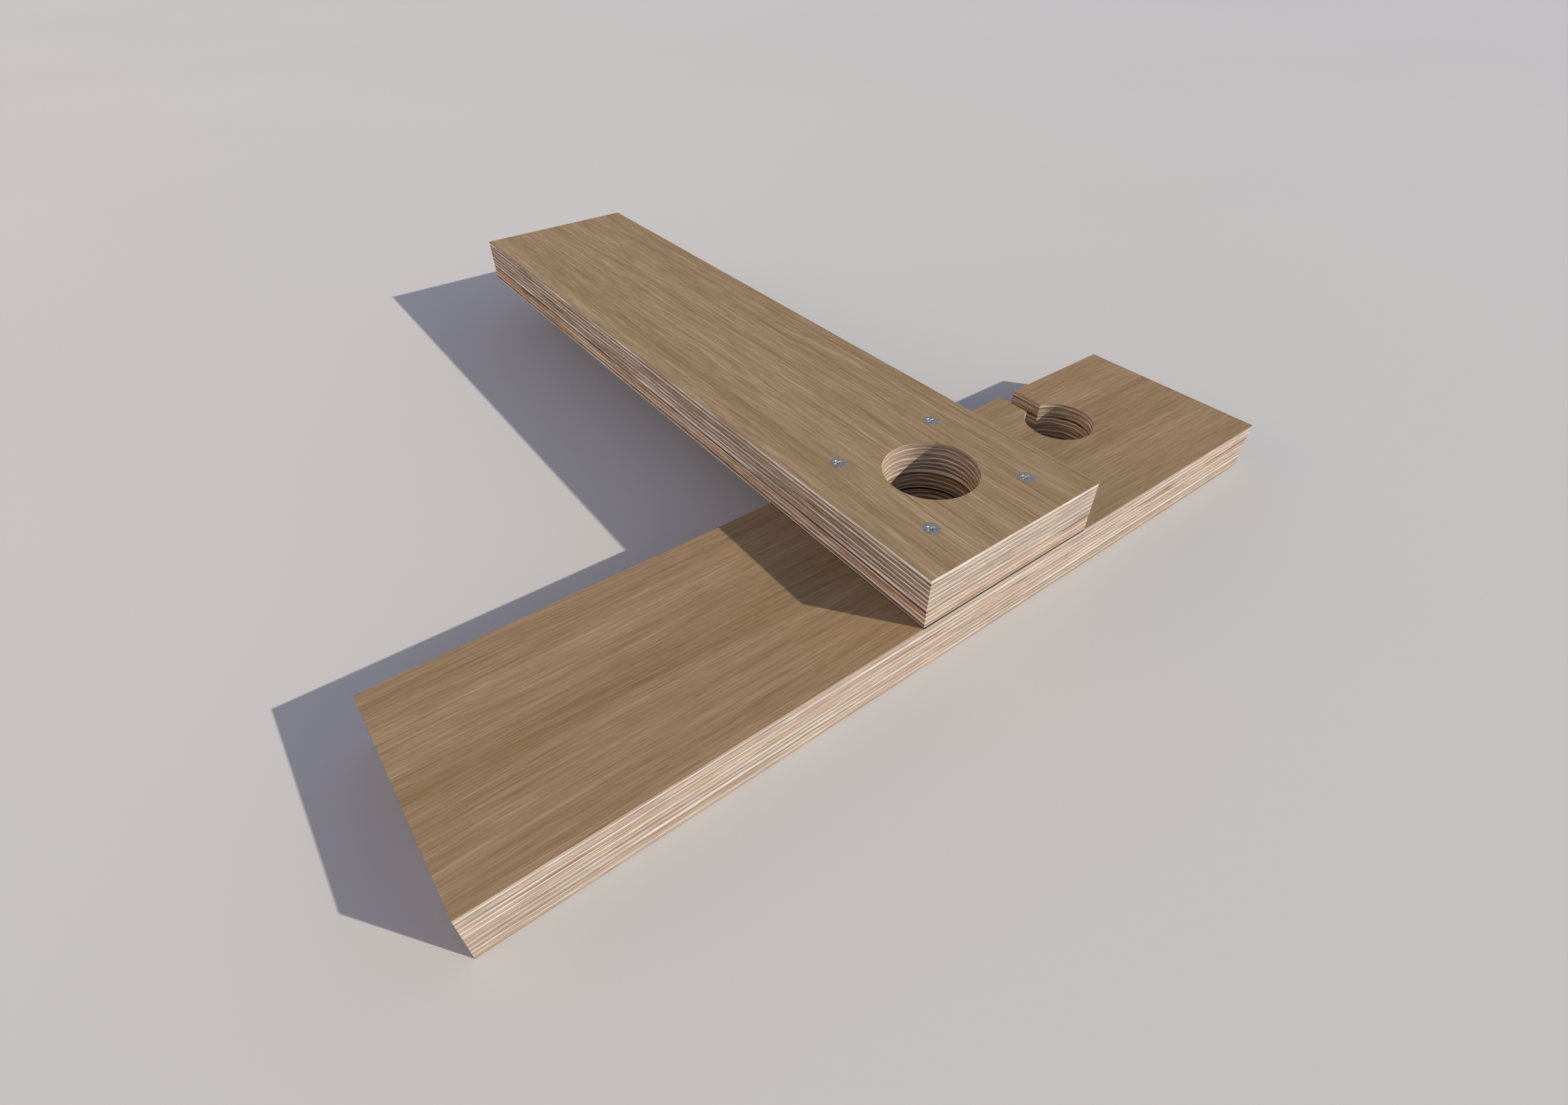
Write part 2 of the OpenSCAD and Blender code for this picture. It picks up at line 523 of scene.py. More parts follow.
def dull_band(tree, place, depth, ply_place, side, plies):
    """The colour between the pale lines, with blotches and rust."""
    shift = plies["edge_shift"]
    stops = [(min(depth_mm / BOARD_MM, 1.0), colour) for depth_mm, colour in plies["bands"]]
    colour = ramp(tree, maths(tree, "DIVIDE", depth, BOARD_MM), stops)
    blotch = noise(tree, ply_place, BLOTCH_SCALE, moved(shift, y=13), detail=3.0)
    blotch = ease(tree, blotch, *BLOTCH_RANGE, 0.0, BLOTCH_STRENGTH)
    colour = blend(tree, blotch, colour, PLY_PEACH)
    rust_depth, rust_half = plies["rust"]
    rust_off = maths(tree, "ABSOLUTE", maths(tree, "SUBTRACT", depth, rust_depth))
    rust_near = ease(tree, rust_off, 0.0, rust_half, 1.0, 0.0)
    rust_here = noise(tree, place, RUST_SCALE, moved(shift, x=-17), detail=3.0)
    rust_here = maths(tree, "MULTIPLY_ADD", side, RUST_ON_SIDES, rust_here)
    rust_here = ease(tree, rust_here, *RUST_RANGE, 0.0, RUST_STRENGTH)
    return blend(tree, maths(tree, "MULTIPLY", rust_near, rust_here), colour, PLY_RUST)


def fibres(tree, place, shift):
    """Returns the shade of the fibres and the finer hatching alone."""
    strand = noise(tree, place, STRAND_SCALE, shift, detail=4.0, rough=0.85)
    hatch = noise(tree, place, HATCH_SCALE, shift, detail=2.0, rough=0.6)
    strand_part = maths(tree, "MULTIPLY", strand, 1 - HATCH_SHARE)
    streak = maths(tree, "MULTIPLY_ADD", hatch, HATCH_SHARE, strand_part)
    return ramp(tree, streak, STREAK_STOPS), hatch


print("hatching lines", round(1 / HATCH_SCALE[2], 2), "mm apart")

# %% [markdown]
# The steps above are now put in order for one edge. At the end the colours are pushed apart on
# the walls that face left or right. This is painted shade: the fence's left edge lies in the
# shade, and the darker, warmer plies with stronger contrast that shade gives are painted into
# its colour. Its right edge is treated alike, because both were cut from one board.

# %% Paint a whole edge
FIBRE_DEPTH = 0.85
SIDE_SHADE_CONTRAST = 0.75
LINE_RISE = 0.35
GAP_RISE = -2.0


def deepen(tree, colour, middle, power):
    """Pushes a colour away from a middle one: the darker gets darker and the paler paler."""
    inverse = [1 / channel for channel in middle]
    node = tree.nodes.new("ShaderNodeGamma")
    feed(tree, node.inputs["Color"], blend(tree, 1.0, colour, inverse, "MULTIPLY"))
    feed(tree, node.inputs["Gamma"], power)
    return blend(tree, 1.0, node.outputs["Color"], middle, "MULTIPLY")


def ply_edge(tree, place, bend, side, top_mm, plies):
    """Returns the edge colour and a height for the bump."""
    shift = plies["edge_shift"]
    depth = ply_depth(tree, place, bend, top_mm, shift)
    ply, below, ply_place = count_plies(tree, place, depth, plies["first_broad"])
    off_centre = maths(tree, "ABSOLUTE", below)
    pale, half = pale_line(tree, ply, off_centre, ply_place, shift)
    dull = dull_band(tree, place, depth, ply_place, side, plies)
    colour = blend(tree, pale, dull, PLY_CREAM)
    colour = blend(tree, glue_line(tree, below, half, ply_place, shift), colour, PLY_GLUE)
    shade, hatch = fibres(tree, place, shift)
    colour = blend(tree, FIBRE_DEPTH, colour, shade, "SOFT_LIGHT")
    # Painted shade: walls facing left or right get stronger contrast and warmer darks
    power = maths(tree, "MULTIPLY_ADD", side, SIDE_SHADE_CONTRAST, 1.0)
    colour = deepen(tree, colour, PLY_MIDDLE, power)
    # Painted shade in the hollow of a gap in an inner ply
    gap = inner_gap(tree, off_centre, ply_place, shift)
    colour = blend(tree, gap, colour, PLY_GAP_SHADE)
    height = maths(tree, "MULTIPLY_ADD", pale, LINE_RISE, hatch)
    height = maths(tree, "MULTIPLY_ADD", gap, GAP_RISE, height)
    return colour, height


print("edges facing left or right have", 1 + SIDE_SHADE_CONTRAST, "times the contrast")

# %% [markdown]
# ## One board's material
#
# The two looks meet in one material. The way a surface faces tells which it shows: what looks up
# or down is veneer, and everything else is an edge. The outer veneer also shows on the
# edges as a thin brown line at the very top and bottom. Where the boards are screwed
# together, the shade in the hairline crack between them is painted as a fine dark line: both
# boards are darkened just there, on every wall that cuts through the joint.

# %% Lines at the top, the bottom and the joint
VENEER_MM = 0.28
VENEER_SOFTNESS_MM = 0.12
SEAM_HALF_MM = 0.34
SEAM_SPARE_MM = 0.1
# The dark of the painted shade in the crack between the boards
SEAM_SHADE_COLOUR = rgb(22, 15, 11)


def outer_veneer(tree, place, top_mm):
    """1 where the outer veneer shows on an edge, and 0 between."""
    level = split(tree, place)[2]
    from_middle = maths(tree, "SUBTRACT", level, top_mm - BOARD_MM / 2)
    from_middle = maths(tree, "ABSOLUTE", from_middle)
    starts = BOARD_MM / 2 - VENEER_MM
    return ease(tree, from_middle, starts, starts + VENEER_SOFTNESS_MM)


def painted_seam_shade(tree, place):
    """1 on the joint line, where the shade of the crack is painted, inside the crossing of the two
    boards, and 0 elsewhere.
    """
    x, y, z = split(tree, place)
    near_joint = maths(tree, "COMPARE", z, JOINT_MM, SEAM_HALF_MM)
    inside_x = maths(tree, "COMPARE", x, 0.0, JOINT_HALF_X + SEAM_SPARE_MM)
    inside_y = maths(tree, "COMPARE", y, 0.0, JOINT_HALF_Y + SEAM_SPARE_MM)
    return maths(tree, "MULTIPLY", near_joint, maths(tree, "MULTIPLY", inside_x, inside_y))


print("joint line at", round(JOINT_MM, 2), "mm above the bench")

# %% [markdown]
# Bare sanded wood is matt, so the roughness is high and hardly varies. The same heights that
# tilt the light also steer the roughness, because a hollow scatters a little more light than
# a rubbed ridge. Each board is given its own material in place of the plain one.

# %% Plywood for each board
# How far up or down a surface has to look to count as a face of the board
FACE_FROM = 0.5
WOOD_BUMP = 0.25
WOOD_BUMP_MM = 0.06
HEIGHT_RANGE = (0.2, 0.9)
HOLLOW_ROUGHNESS = 0.78
RIDGE_ROUGHNESS = 0.66
WOOD_SHINE = 0.15


def plywood(name, top_mm, grain_turn, plies):
    """Plywood whose grain runs along X, or along Y with a turn of -90 degrees."""
    material, tree, shader = new_material(name)
    place = object_millimetres(tree, grain_turn)
    geometry = tree.nodes.new("ShaderNodeNewGeometry")
    facing_x, facing_y, facing_up = split(tree, geometry.outputs["Normal"])
    is_face = maths(tree, "GREATER_THAN", maths(tree, "ABSOLUTE", facing_up), FACE_FROM)
    bend = maths(tree, "ABSOLUTE", maths(tree, "MULTIPLY", facing_x, facing_y))
    side = maths(tree, "ABSOLUTE", facing_x)
    face_colour, face_height = veneer(tree, place, plies["face_contrast"], plies["face_shift"])
    face_colour = blend(tree, 1.0, face_colour, plies["face_tint"], "MULTIPLY")
    edge_colour, edge_height = ply_edge(tree, place, bend, side, top_mm, plies)
    edge_colour = blend(tree, outer_veneer(tree, place, top_mm), edge_colour, face_colour)

    colour = blend(tree, is_face, edge_colour, face_colour)
    is_edge = maths(tree, "SUBTRACT", 1.0, is_face)
    # Painted shade: the crack where the two boards meet is darkened on the edges
    seam_shade = maths(tree, "MULTIPLY", painted_seam_shade(tree, object_millimetres(tree)), is_edge)
    feed(tree, shader.inputs["Base Color"], blend(tree, seam_shade, colour, SEAM_SHADE_COLOUR))
    height = maths(tree, "MULTIPLY", is_face, maths(tree, "SUBTRACT", face_height, edge_height))
    height = maths(tree, "ADD", height, edge_height)
    emboss(tree, shader, height, WOOD_BUMP, WOOD_BUMP_MM)
    roughness = ease(tree, height, *HEIGHT_RANGE, HOLLOW_ROUGHNESS, RIDGE_ROUGHNESS)
    feed(tree, shader.inputs["Roughness"], roughness)
    shader.inputs["Specular IOR Level"].default_value = WOOD_SHINE
    return material


def dress(node_name, material):
    """Gives a model piece its finish, in place of the plain one that it came with."""
    mesh = frame["nodes"][node_name].data
    mesh.materials.clear()
    mesh.materials.append(material)


dress("crosspiece", plywood("crosspiece_plywood", JOINT_MM, 0.0, CROSSPIECE_PLIES))
dress("fence", plywood("fence_plywood", TOP_MM, -90.0, FENCE_PLIES))
print("boards dressed in plywood")

# %% [markdown]
# ## The screws
#
# Four small countersunk wood screws hold the boards together. Only their heads show, about 5 mm
# across with a cross recess, but the whole screw is made, because a real one has a shank, a
# core with a sharp thread wound round it and a gimlet point. One screw is modelled at the
# origin, with its head's face at height zero. The body starts as a disc that is extruded down
# and scaled step by step, as a lathe would leave it. The head's cone widens at 45 degrees, so
# it is as high as the head stands out past the shank.

# %% Sizes of a screw
SCREW_NODES = ["screw_near_left", "screw_near_right", "screw_far_left", "screw_far_right"]
screw_low, screw_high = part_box(SCREW_NODES[0])
HEAD_R = (screw_high.x - screw_low.x) / 2
SCREW_LENGTH = screw_high.z - screw_low.z
SHANK_R = 1.1 * MM
SHANK_END = 10.0 * MM
CORE_R = 0.95 * MM
POINT_LENGTH = 3.5 * MM
POINT_R = 0.15 * MM
HEAD_HEIGHT = HEAD_R - SHANK_R
HEAD_SIDES = 64
print("head", round(2 * HEAD_R / MM, 2), "mm across, screw", round(SCREW_LENGTH / MM, 2), "mm long")

# %% [markdown]
# The helpers below turn a disc into the screw's body. In edit mode the last ring stays selected
# after each extrude, so a list of (how far down, what radius) is all they need.

# %% Turn the body of the screw
def deselect_all():
    """Leaves nothing selected, so that an operator acts only on the new piece."""
    if bpy.context.object and bpy.context.object.mode != "OBJECT":
        bpy.ops.object.mode_set(mode="OBJECT")
    bpy.ops.object.select_all(action="DESELECT")


def turn_faces_out():
    """Makes every face of the piece in edit mode look away from its inside."""
    bpy.ops.mesh.select_all(action="SELECT")
    bpy.ops.mesh.normals_make_consistent(inside=False)
    bpy.ops.object.mode_set(mode="OBJECT")


def turned_body(name, start_r, steps, sides):
    """A closed turned solid, from a disc at height zero down through rings of (depth, radius)."""
    deselect_all()
    bpy.ops.mesh.primitive_circle_add(
        vertices=sides, radius=start_r, fill_type="NGON", location=(0, 0, 0)
    )
    body = bpy.context.object
    body.name = name
    bpy.ops.object.mode_set(mode="EDIT")
    bpy.ops.mesh.select_mode(type="FACE")
    bpy.ops.mesh.select_all(action="SELECT")
    depth = 0.0
    radius = start_r
    for next_depth, next_r in steps:
        bpy.ops.mesh.extrude_region_move(
            MESH_OT_extrude_region={"use_normal_flip": False},
            TRANSFORM_OT_translate={"value": (0, 0, depth - next_depth)},
        )
        grow = next_r / radius
        bpy.ops.transform.resize(value=(grow, grow, 1.0), center_override=(0, 0, -next_depth))
        depth = next_depth
        radius = next_r
    turn_faces_out()
    return body


BODY_RINGS = [
    (HEAD_HEIGHT, SHANK_R),
    (SHANK_END, SHANK_R),
    (SHANK_END + SHANK_R - CORE_R, CORE_R),
    (SCREW_LENGTH - POINT_LENGTH, CORE_R),
    (SCREW_LENGTH, POINT_R),
]
screw = turned_body("screw_pattern", HEAD_R, BODY_RINGS, HEAD_SIDES)
print("turned body:", len(screw.data.vertices), "points")

# %% [markdown]
# ## The thread
#
# A wood screw's thread is one sharp ridge wound round the core like a spring. A triangle with its
# foot inside the core and its crest outside is swept by the Screw modifier, which turns and lifts
# at once.

# %% Wind the thread
THREAD_R = 1.5 * MM
THREAD_PITCH = 1.35 * MM
RIDGE_HALF = 0.28 * MM
RIDGE_FOOT_R = 0.80 * MM
STEPS_PER_TURN = 20
THREAD_FROM = SHANK_END + 0.4 * MM
THREAD_TO = SCREW_LENGTH - 0.6 * MM
TURNS = int((THREAD_TO - THREAD_FROM) / THREAD_PITCH)


def wound_thread(name):
    """The ridge as a closed solid, wound from its upper end down."""
    deselect_all()
    bpy.ops.mesh.primitive_circle_add(
        vertices=3, radius=RIDGE_HALF, fill_type="NOTHING", location=(0, 0, 0)
    )
    ridge = bpy.context.object
    ridge.name = name
    corners = (
        (RIDGE_FOOT_R, 0.0, -THREAD_FROM + RIDGE_HALF),
        (THREAD_R, 0.0, -THREAD_FROM),
        (RIDGE_FOOT_R, 0.0, -THREAD_FROM - RIDGE_HALF),
    )
    for vertex, corner in zip(ridge.data.vertices, corners):
        vertex.co = corner
    sweep = ridge.modifiers.new("sweep", "SCREW")
    sweep.axis = "Z"
    sweep.angle = math.tau
    sweep.screw_offset = -THREAD_PITCH
    sweep.iterations = TURNS
    sweep.steps = STEPS_PER_TURN
    sweep.render_steps = STEPS_PER_TURN
    bpy.ops.object.modifier_apply(modifier=sweep.name)
    bpy.ops.object.mode_set(mode="EDIT")
    bpy.ops.mesh.select_all(action="SELECT")
    bpy.ops.mesh.fill_holes(sides=3)
    turn_faces_out()
    return ridge


thread = wound_thread("thread_pattern")
print("thread:", TURNS, "turns,", len(thread.data.vertices), "points")

# %% [markdown]
# The ridge has to fade in at the shank and run down to almost nothing at the point, so each
# point of it is pulled in to follow the core. A boolean union then welds it on.

# %% Fade the thread and weld it on
RUN_IN_TURNS = 1.5
RIDGE_LEFT_AT_POINT = 0.25


def clamp(value):
    """The value, held between 0 and 1."""
    return min(max(value, 0.0), 1.0)


def core_radius(depth):
    """Radius of the screw's core at a depth below its head's face."""
    along_point = clamp((depth - SCREW_LENGTH + POINT_LENGTH) / POINT_LENGTH)
    return CORE_R + along_point * (POINT_R - CORE_R)


def fade_thread(ridge):
    """Lets the ridge grow out of the shank and die away along the point."""
    for vertex in ridge.data.vertices:
        depth = -vertex.co.z
        radius = math.hypot(vertex.co.x, vertex.co.y)
        grown = clamp((depth - THREAD_FROM + RIDGE_HALF) / (RUN_IN_TURNS * THREAD_PITCH))
        to_point = clamp((SCREW_LENGTH - depth) / POINT_LENGTH)
        left = RIDGE_LEFT_AT_POINT + (1 - RIDGE_LEFT_AT_POINT) * to_point
        wanted = core_radius(depth) + (radius - CORE_R) * grown * left
        if radius < CORE_R:
            wanted = core_radius(depth) * radius / CORE_R
        vertex.co.x *= wanted / radius
        vertex.co.y *= wanted / radius


def boolean(target, tool, operation):
    """Applies one boolean with an exact solver and removes the tool."""
    deselect_all()
    bpy.context.view_layer.objects.active = target
    target.select_set(True)
    step = target.modifiers.new(operation.lower(), "BOOLEAN")
    step.operation = operation
    step.object = tool
    step.solver = "EXACT"
    bpy.ops.object.modifier_apply(modifier=step.name)
    bpy.data.objects.remove(tool)


fade_thread(thread)
boolean(screw, thread, "UNION")
print("thread welded on; screw now has", len(screw.data.vertices), "points")

# %% [markdown]
# ## The cross recess
#
# The driver's cross is four tapered wings about a tapered middle, 2.8 mm from tip to tip. Two
# crossed bars make the cutter: each is a cube whose bottom face is scaled in on both sides.
# A short cone widens the middle. The cutter stands a little proud of the face so that
# the boolean leaves no skin.

# %% Cut the recess
RECESS_SPAN = 2.8 * MM
WING_WIDTH = 0.6 * MM
RECESS_DEPTH = 1.3 * MM
WING_TAPER = math.tan(math.radians(26.5))
FLANK_TAPER = math.tan(math.radians(5.75))
RECESS_MIDDLE_R = 0.75 * MM
RECESS_SIDES = 24
PROUD = 0.3 * MM
CUTTER_MIDDLE = (0, 0, (PROUD - RECESS_DEPTH) / 2)
LOOKS_DOWN = -0.5


def tapered_bar(name, turn):
    """One pair of wings: a box from a little above the face down to the recess's floor."""
    deselect_all()
    bpy.ops.mesh.primitive_cube_add(size=1.0, location=CUTTER_MIDDLE)
    bar = bpy.context.object
    bar.name = name
    top_length = RECESS_SPAN + 2 * PROUD * WING_TAPER
    top_width = WING_WIDTH + 2 * PROUD * FLANK_TAPER
    bar.scale = (top_length, top_width, RECESS_DEPTH + PROUD)
    bpy.ops.object.transform_apply(location=True, rotation=True, scale=True)
    bpy.ops.object.mode_set(mode="EDIT")
    bpy.ops.mesh.select_all(action="DESELECT")
    bpy.ops.object.mode_set(mode="OBJECT")
    for face in bar.data.polygons:
        face.select = face.normal.z < LOOKS_DOWN
    bpy.ops.object.mode_set(mode="EDIT")
    narrow_length = (RECESS_SPAN - 2 * RECESS_DEPTH * WING_TAPER) / top_length
    narrow_width = (WING_WIDTH - 2 * RECESS_DEPTH * FLANK_TAPER) / top_width
    bpy.ops.transform.resize(
        value=(narrow_length, narrow_width, 1.0), center_override=(0, 0, -RECESS_DEPTH)
    )
    bpy.ops.object.mode_set(mode="OBJECT")
    bar.rotation_euler.z = math.radians(turn)
    bpy.ops.object.transform_apply(location=True, rotation=True, scale=True)
    return bar


def recess_middle(name):
    """The tapered middle of the recess."""
    deselect_all()
    floor_r = WING_WIDTH / 2
    proud_r = RECESS_MIDDLE_R * (1 + PROUD / RECESS_DEPTH) - floor_r * PROUD / RECESS_DEPTH
    bpy.ops.mesh.primitive_cone_add(
        vertices=RECESS_SIDES,
        radius1=floor_r,
        radius2=proud_r,
        depth=RECESS_DEPTH + PROUD,
        location=CUTTER_MIDDLE,
    )
    cone = bpy.context.object
    cone.name = name
    bpy.ops.object.transform_apply(location=True, rotation=True, scale=True)
    return cone


for turn in (0.0, 90.0):
    boolean(screw, tapered_bar("wings", turn), "DIFFERENCE")
boolean(screw, recess_middle("middle"), "DIFFERENCE")
print("recess cut; screw now has", len(screw.data.vertices), "points")

# %% [markdown]
# A knife-sharp edge catches no light, so a tiny bevel runs round the head's rim and the mouth of
# the recess. Only the edges that lie in the face are chosen, by their height, and bevelled in
# edit mode. Points that the booleans left on top of each other are merged first.

# %% Ease the edges of the head
EASE_WIDTH = 0.05 * MM
EASE_STEPS = 2
MERGE_WITHIN = 0.002 * MM
IN_THE_FACE = 0.001 * MM
FLAT_DEGREES = 0.5
SMOOTH_DEGREES = 35


def ease_face_edges(piece):
    """Bevels the edges that lie in the face of the head."""
    deselect_all()
    bpy.context.view_layer.objects.active = piece
    piece.select_set(True)
    bpy.ops.object.mode_set(mode="EDIT")
    bpy.ops.mesh.select_mode(type="EDGE")
    bpy.ops.mesh.select_all(action="SELECT")
    bpy.ops.mesh.remove_doubles(threshold=MERGE_WITHIN)
    bpy.ops.mesh.dissolve_limited(angle_limit=math.radians(FLAT_DEGREES))
    bpy.ops.mesh.select_all(action="DESELECT")
    bpy.ops.object.mode_set(mode="OBJECT")
    points = piece.data.vertices
    for edge in piece.data.edges:
        edge.select = all(abs(points[i].co.z) < IN_THE_FACE for i in edge.vertices)
    bpy.ops.object.mode_set(mode="EDIT")
    bpy.ops.mesh.bevel(
        offset=EASE_WIDTH, segments=EASE_STEPS, affect="EDGES", clamp_overlap=True
    )
    turn_faces_out()
    bpy.ops.object.shade_smooth_by_angle(angle=math.radians(SMOOTH_DEGREES))


ease_face_edges(screw)
print("finished screw:", len(screw.data.polygons), "faces")

# %% [markdown]
# ## Zinc plate
#
# The heads are dull blue-grey zinc: a metal, but plated and handled, so its shine is broad.
# Rings from the header show faintly round the centre, and a soft mottle breaks up the tone. The
# walls of the recess carry a painted highlight: below the face, near the axis, the material turns
# nearly half way to a pale, less metallic steel, so that they read bright. The rings and the
# highlight have to be centred on each screw, so each has its own copy of the finish.

# %% The screws' finish
ZINC_DARK = rgb(120, 124, 132)
ZINC_PALE = rgb(158, 162, 170)
ZINC_STOPS = [(0.30, ZINC_DARK), (0.85, ZINC_PALE)]
ZINC_METALLIC = 0.85
ZINC_ROUGHNESS = (0.36, 0.5)
ZINC_BUMP = 0.15
ZINC_BUMP_MM = 0.02
RING_SCALE = 2.2
RING_WAVER = 0.6
RING_SHARE = 0.25
MOTTLE_SCALE = (0.9, 0.9, 0.9)
MOTTLE_RANGE = (0.3, 0.7)
MOTTLE_SHARE = 0.9
# The painted highlight on the walls of the recess
HIGHLIGHT_STEEL = rgb(236, 234, 230)
HIGHLIGHT_STRENGTH = 0.45
HIGHLIGHT_METALLIC = 0.60
HIGHLIGHT_DEPTH_MM = 0.03
HIGHLIGHT_RADIUS_MM = 1.5


def header_rings(tree, centred):
    """Faint rings about the screw's axis, about a seventh of a millimetre apart."""
    rings = tree.nodes.new("ShaderNodeTexWave")
    rings.wave_type = "RINGS"
    rings.rings_direction = "Z"
    rings.inputs["Scale"].default_value = RING_SCALE
    rings.inputs["Distortion"].default_value = RING_WAVER
    rings.inputs["Detail"].default_value = 1.0
    feed(tree, rings.inputs["Vector"], centred)
    return rings.outputs["Fac"]


def highlight_walls(tree, centred):
    """1 on the walls of the recess, where the highlight is painted, and 0 elsewhere."""
    x, y, z = split(tree, centred)
    off_axis = maths(tree, "MULTIPLY_ADD", x, x, maths(tree, "MULTIPLY", y, y))
    off_axis = maths(tree, "SQRT", off_axis)
    inside = maths(tree, "LESS_THAN", off_axis, HIGHLIGHT_RADIUS_MM)
    deep = maths(tree, "LESS_THAN", z, TOP_MM - HIGHLIGHT_DEPTH_MM)
    high = maths(tree, "GREATER_THAN", z, TOP_MM - RECESS_DEPTH / MM - HIGHLIGHT_DEPTH_MM)
    return maths(tree, "MULTIPLY", inside, maths(tree, "MULTIPLY", deep, high))


def zinc(name, centre):
    """Zinc plate with faint rings about a screw's axis."""
    material, tree, shader = new_material(name)
    off_origin = (-centre.x / MM, -centre.y / MM, 0.0)
    centred = stretch(tree, object_millimetres(tree), (1.0, 1.0, 1.0), off_origin)
    mottle = noise(tree, centred, MOTTLE_SCALE, detail=4.0)
    tone = maths(tree, "MULTIPLY", mottle, MOTTLE_SHARE)
    tone = maths(tree, "MULTIPLY_ADD", header_rings(tree, centred), RING_SHARE, tone)
    # Painted highlight: the recess walls turn towards a pale steel
    highlight = highlight_walls(tree, centred)
    steel = maths(tree, "MULTIPLY", highlight, HIGHLIGHT_STRENGTH)
    colour = blend(tree, steel, ramp(tree, tone, ZINC_STOPS), HIGHLIGHT_STEEL)
    metallic = maths(
        tree, "MULTIPLY_ADD", highlight, HIGHLIGHT_METALLIC - ZINC_METALLIC, ZINC_METALLIC
    )
    feed(tree, shader.inputs["Base Color"], colour)
    feed(tree, shader.inputs["Metallic"], metallic)
    roughness = ease(tree, mottle, *MOTTLE_RANGE, *ZINC_ROUGHNESS)
    feed(tree, shader.inputs["Roughness"], roughness)
    emboss(tree, shader, tone, ZINC_BUMP, ZINC_BUMP_MM)
    return material


print("zinc plate from", len(ZINC_STOPS), "greys and a rubbed steel")

# %% [markdown]
# The screw is copied to its four places. Each copy carries its place in its mesh, and takes over
# from the plain screw of the construction model.

# %% Set the four screws
def place_screw(node_name):
    """Sets a copy of the screw where the model has one, in its place."""
    low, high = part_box(node_name)
    centre = Vector(((low.x + high.x) / 2, (low.y + high.y) / 2, high.z))
    mesh = screw.data.copy()
    mesh.transform(Matrix.Translation(centre))
    piece = bpy.data.objects.new("detailed_" + node_name, mesh)
    bpy.context.scene.collection.objects.link(piece)
    mesh.materials.clear()
    mesh.materials.append(zinc("zinc_" + node_name, centre))
    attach(piece, "root")
    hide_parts(node_name)


for node_name in SCREW_NODES:
    place_screw(node_name)
bpy.data.objects.remove(screw)
print("screws placed:", len(SCREW_NODES))

# %% [markdown]
# ## Floor
#
# The jig lies on a plain pale floor that runs out past the picture. It is matt and chalky, with
# clouds half a metre wide that are too faint to see as such, and lies a hair below the jig so
# that the two surfaces don't share a height.

# %% Lay the floor
FLOOR_SIZE = 12.0
FLOOR_DROP = 0.02 * MM
FLOOR_COLOUR = rgb(195, 193, 191)
FLOOR_SHADE = rgb(193, 191, 189)
FLOOR_STOPS = [(0.35, FLOOR_SHADE), (0.65, FLOOR_COLOUR)]
FLOOR_CHALKINESS = 0.04
FLOOR_ROUGHNESS = 0.9
FLOOR_SHINE = 0.1
CLOUD_SCALE = (0.002, 0.002, 0.002)


def lay_floor():
    """A pale floor just under the jig."""
    deselect_all()
    bpy.ops.mesh.primitive_plane_add(size=FLOOR_SIZE, location=(0.0, 0.0, -FLOOR_DROP))
    floor = bpy.context.object
    floor.name = "floor"
    bpy.ops.object.transform_apply(location=True, rotation=True, scale=True)
    material, tree, shader = new_material("floor_paint")
    clouds = noise(tree, object_millimetres(tree), CLOUD_SCALE, detail=2.0)
    feed(tree, shader.inputs["Base Color"], ramp(tree, clouds, FLOOR_STOPS))
    shader.inputs["Roughness"].default_value = FLOOR_ROUGHNESS
    shader.inputs["Specular IOR Level"].default_value = FLOOR_SHINE
    shader.inputs["Diffuse Roughness"].default_value = FLOOR_CHALKINESS
    floor.data.materials.append(material)


lay_floor()
print("floor", FLOOR_SIZE, "m square")

# %% [markdown]
# ## Light
#
# One sun lamp, low and from the right, gives the long crisp shadow. A large warm card stands far
# off on the left, 25 degrees up, for the sides that the sun never reaches. Its beam is narrowed
# a little, so that it lights the jig and the floor round it and not much else.

# %% Hang the lamps
TOWARDS_SUN = Vector((1.14, -1.53, 1.0))
SUN_STRENGTH = 4.22
SUN_COLOUR = (1.0, 0.93, 0.785)
SUN_SOFTNESS_DEGREES = 0.8
CARD_PLACE = Vector((-2.66, 1.54, 1.44))
CARD_SIZE = (2.4, 1.0)
CARD_WATTS = 6.2
CARD_SPREAD_DEGREES = 100.0
CARD_COLOUR = (1.0, 0.47, 0.02)


def hang_lamp(kind, name, place, strength, colour):
    """A lamp at a place, turned to shine on the jig."""
    deselect_all()
    bpy.ops.object.light_add(type=kind, location=place)
    lamp = bpy.context.object
    lamp.name = name
    lamp.rotation_euler = place.to_track_quat("Z", "Y").to_euler()
    lamp.data.energy = strength
    lamp.data.color = colour
    return lamp.data


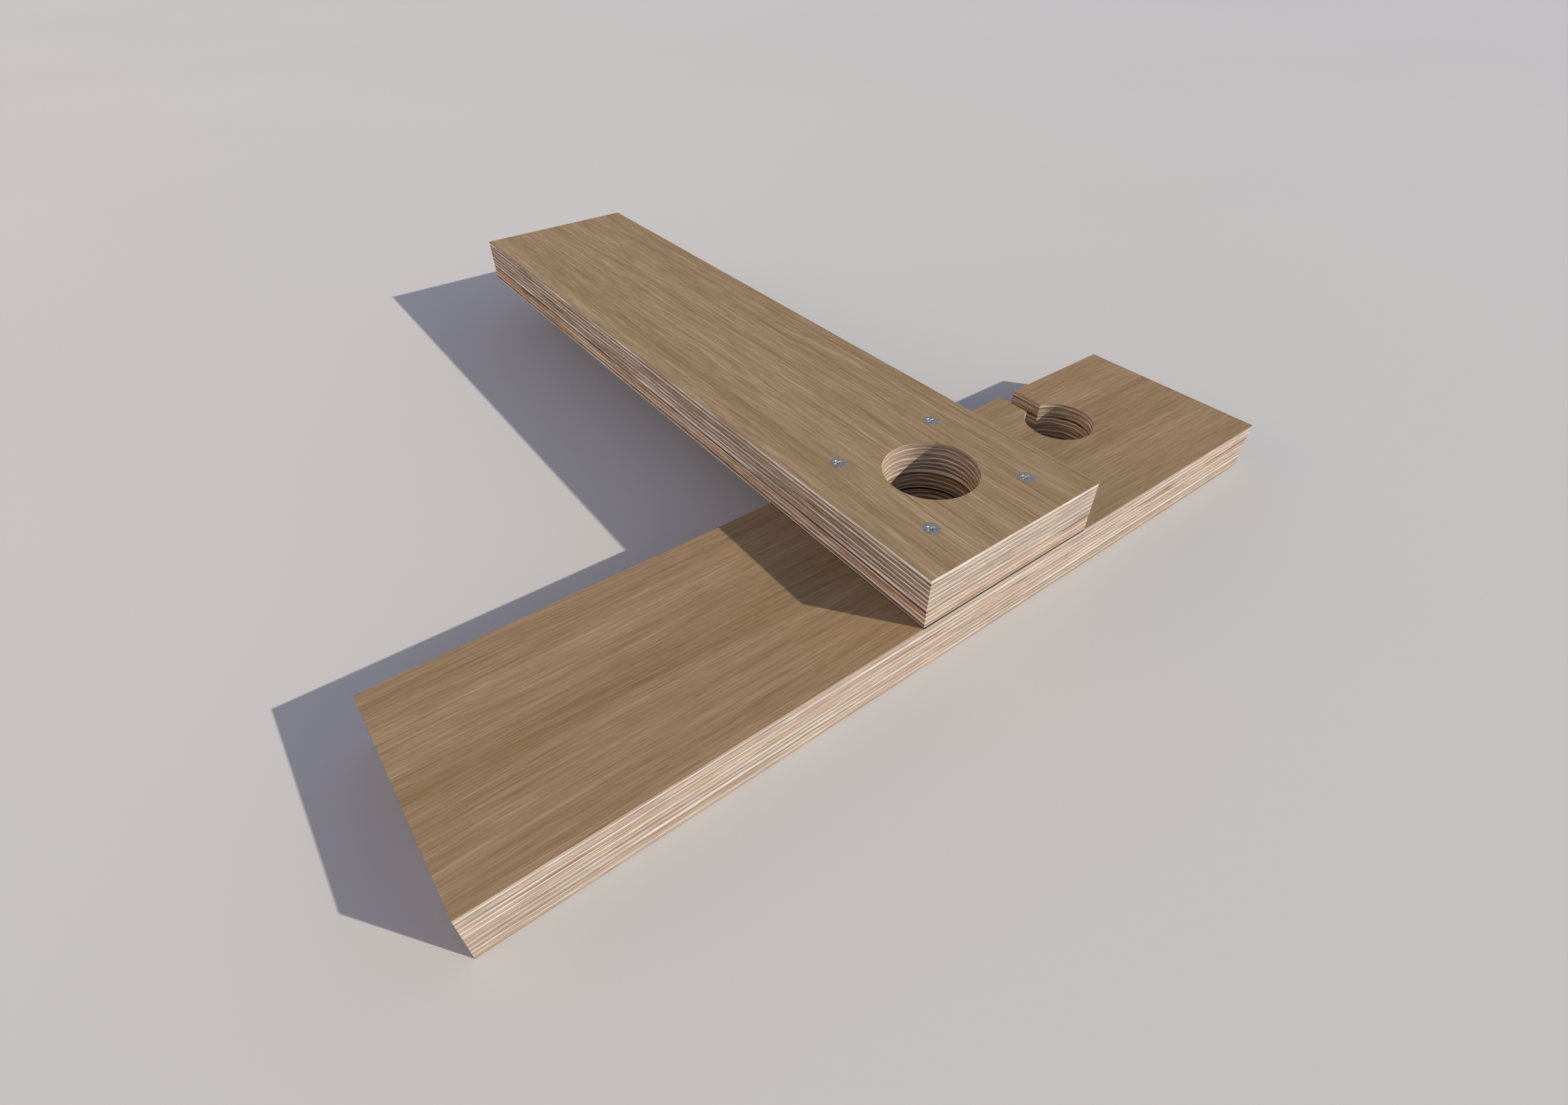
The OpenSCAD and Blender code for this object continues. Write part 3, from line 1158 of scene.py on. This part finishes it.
sun = hang_lamp("SUN", "sun", TOWARDS_SUN, SUN_STRENGTH, SUN_COLOUR)
sun.angle = math.radians(SUN_SOFTNESS_DEGREES)
card = hang_lamp("AREA", "reflector_card", CARD_PLACE, CARD_WATTS, CARD_COLOUR)
card.shape = "RECTANGLE"
card.size, card.size_y = CARD_SIZE
card.spread = math.radians(CARD_SPREAD_DEGREES)
print("sun", SUN_STRENGTH, "towards", [round(v, 2) for v in TOWARDS_SUN.normalized()])
print("card", CARD_WATTS, "W at", round(CARD_PLACE.length, 2), "m")

# %% [markdown]
# A cool sky fills the shadows. It is strongest at the horizon, where it lights the boards'
# edges, and dies away to nothing overhead. What the camera sees of the sky, and what metal
# reflects, is kept as pale as the floor.

# %% Paint the sky
SKY_STRENGTH = 1.58
SKY_HORIZON = (0.65, 0.76, 1.02, 1.0)
SKY_ZENITH = (0.0, 0.0, 0.01, 1.0)
BACKDROP_COLOUR = rgb(194, 191, 191)


def paint_sky():
    """Soft fill light, with a backdrop as pale as the floor for the camera and for reflections."""
    world = bpy.data.worlds.new("studio")
    bpy.context.scene.world = world
    world.use_nodes = True
    tree = world.node_tree
    tree.nodes.clear()
    direction = tree.nodes.new("ShaderNodeTexCoord")
    height = split(tree, direction.outputs["Generated"])[2]
    fill = tree.nodes.new("ShaderNodeBackground")
    sky = ramp(tree, height, [(0.0, SKY_HORIZON), (1.0, SKY_ZENITH)])
    feed(tree, fill.inputs["Color"], sky)
    fill.inputs["Strength"].default_value = SKY_STRENGTH
    backdrop = tree.nodes.new("ShaderNodeBackground")
    backdrop.inputs["Color"].default_value = BACKDROP_COLOUR
    rays = tree.nodes.new("ShaderNodeLightPath")
    seen = maths(tree, "MAXIMUM", rays.outputs["Is Camera Ray"], rays.outputs["Is Glossy Ray"])
    seen = maths(tree, "MAXIMUM", seen, rays.outputs["Is Transmission Ray"])
    mix = tree.nodes.new("ShaderNodeMixShader")
    feed(tree, mix.inputs["Fac"], seen)
    tree.links.new(fill.outputs["Background"], mix.inputs[1])
    tree.links.new(backdrop.outputs["Background"], mix.inputs[2])
    output = tree.nodes.new("ShaderNodeOutputWorld")
    tree.links.new(mix.outputs["Shader"], output.inputs["Surface"])


paint_sky()
print("sky", SKY_STRENGTH, "at the horizon and nothing overhead")
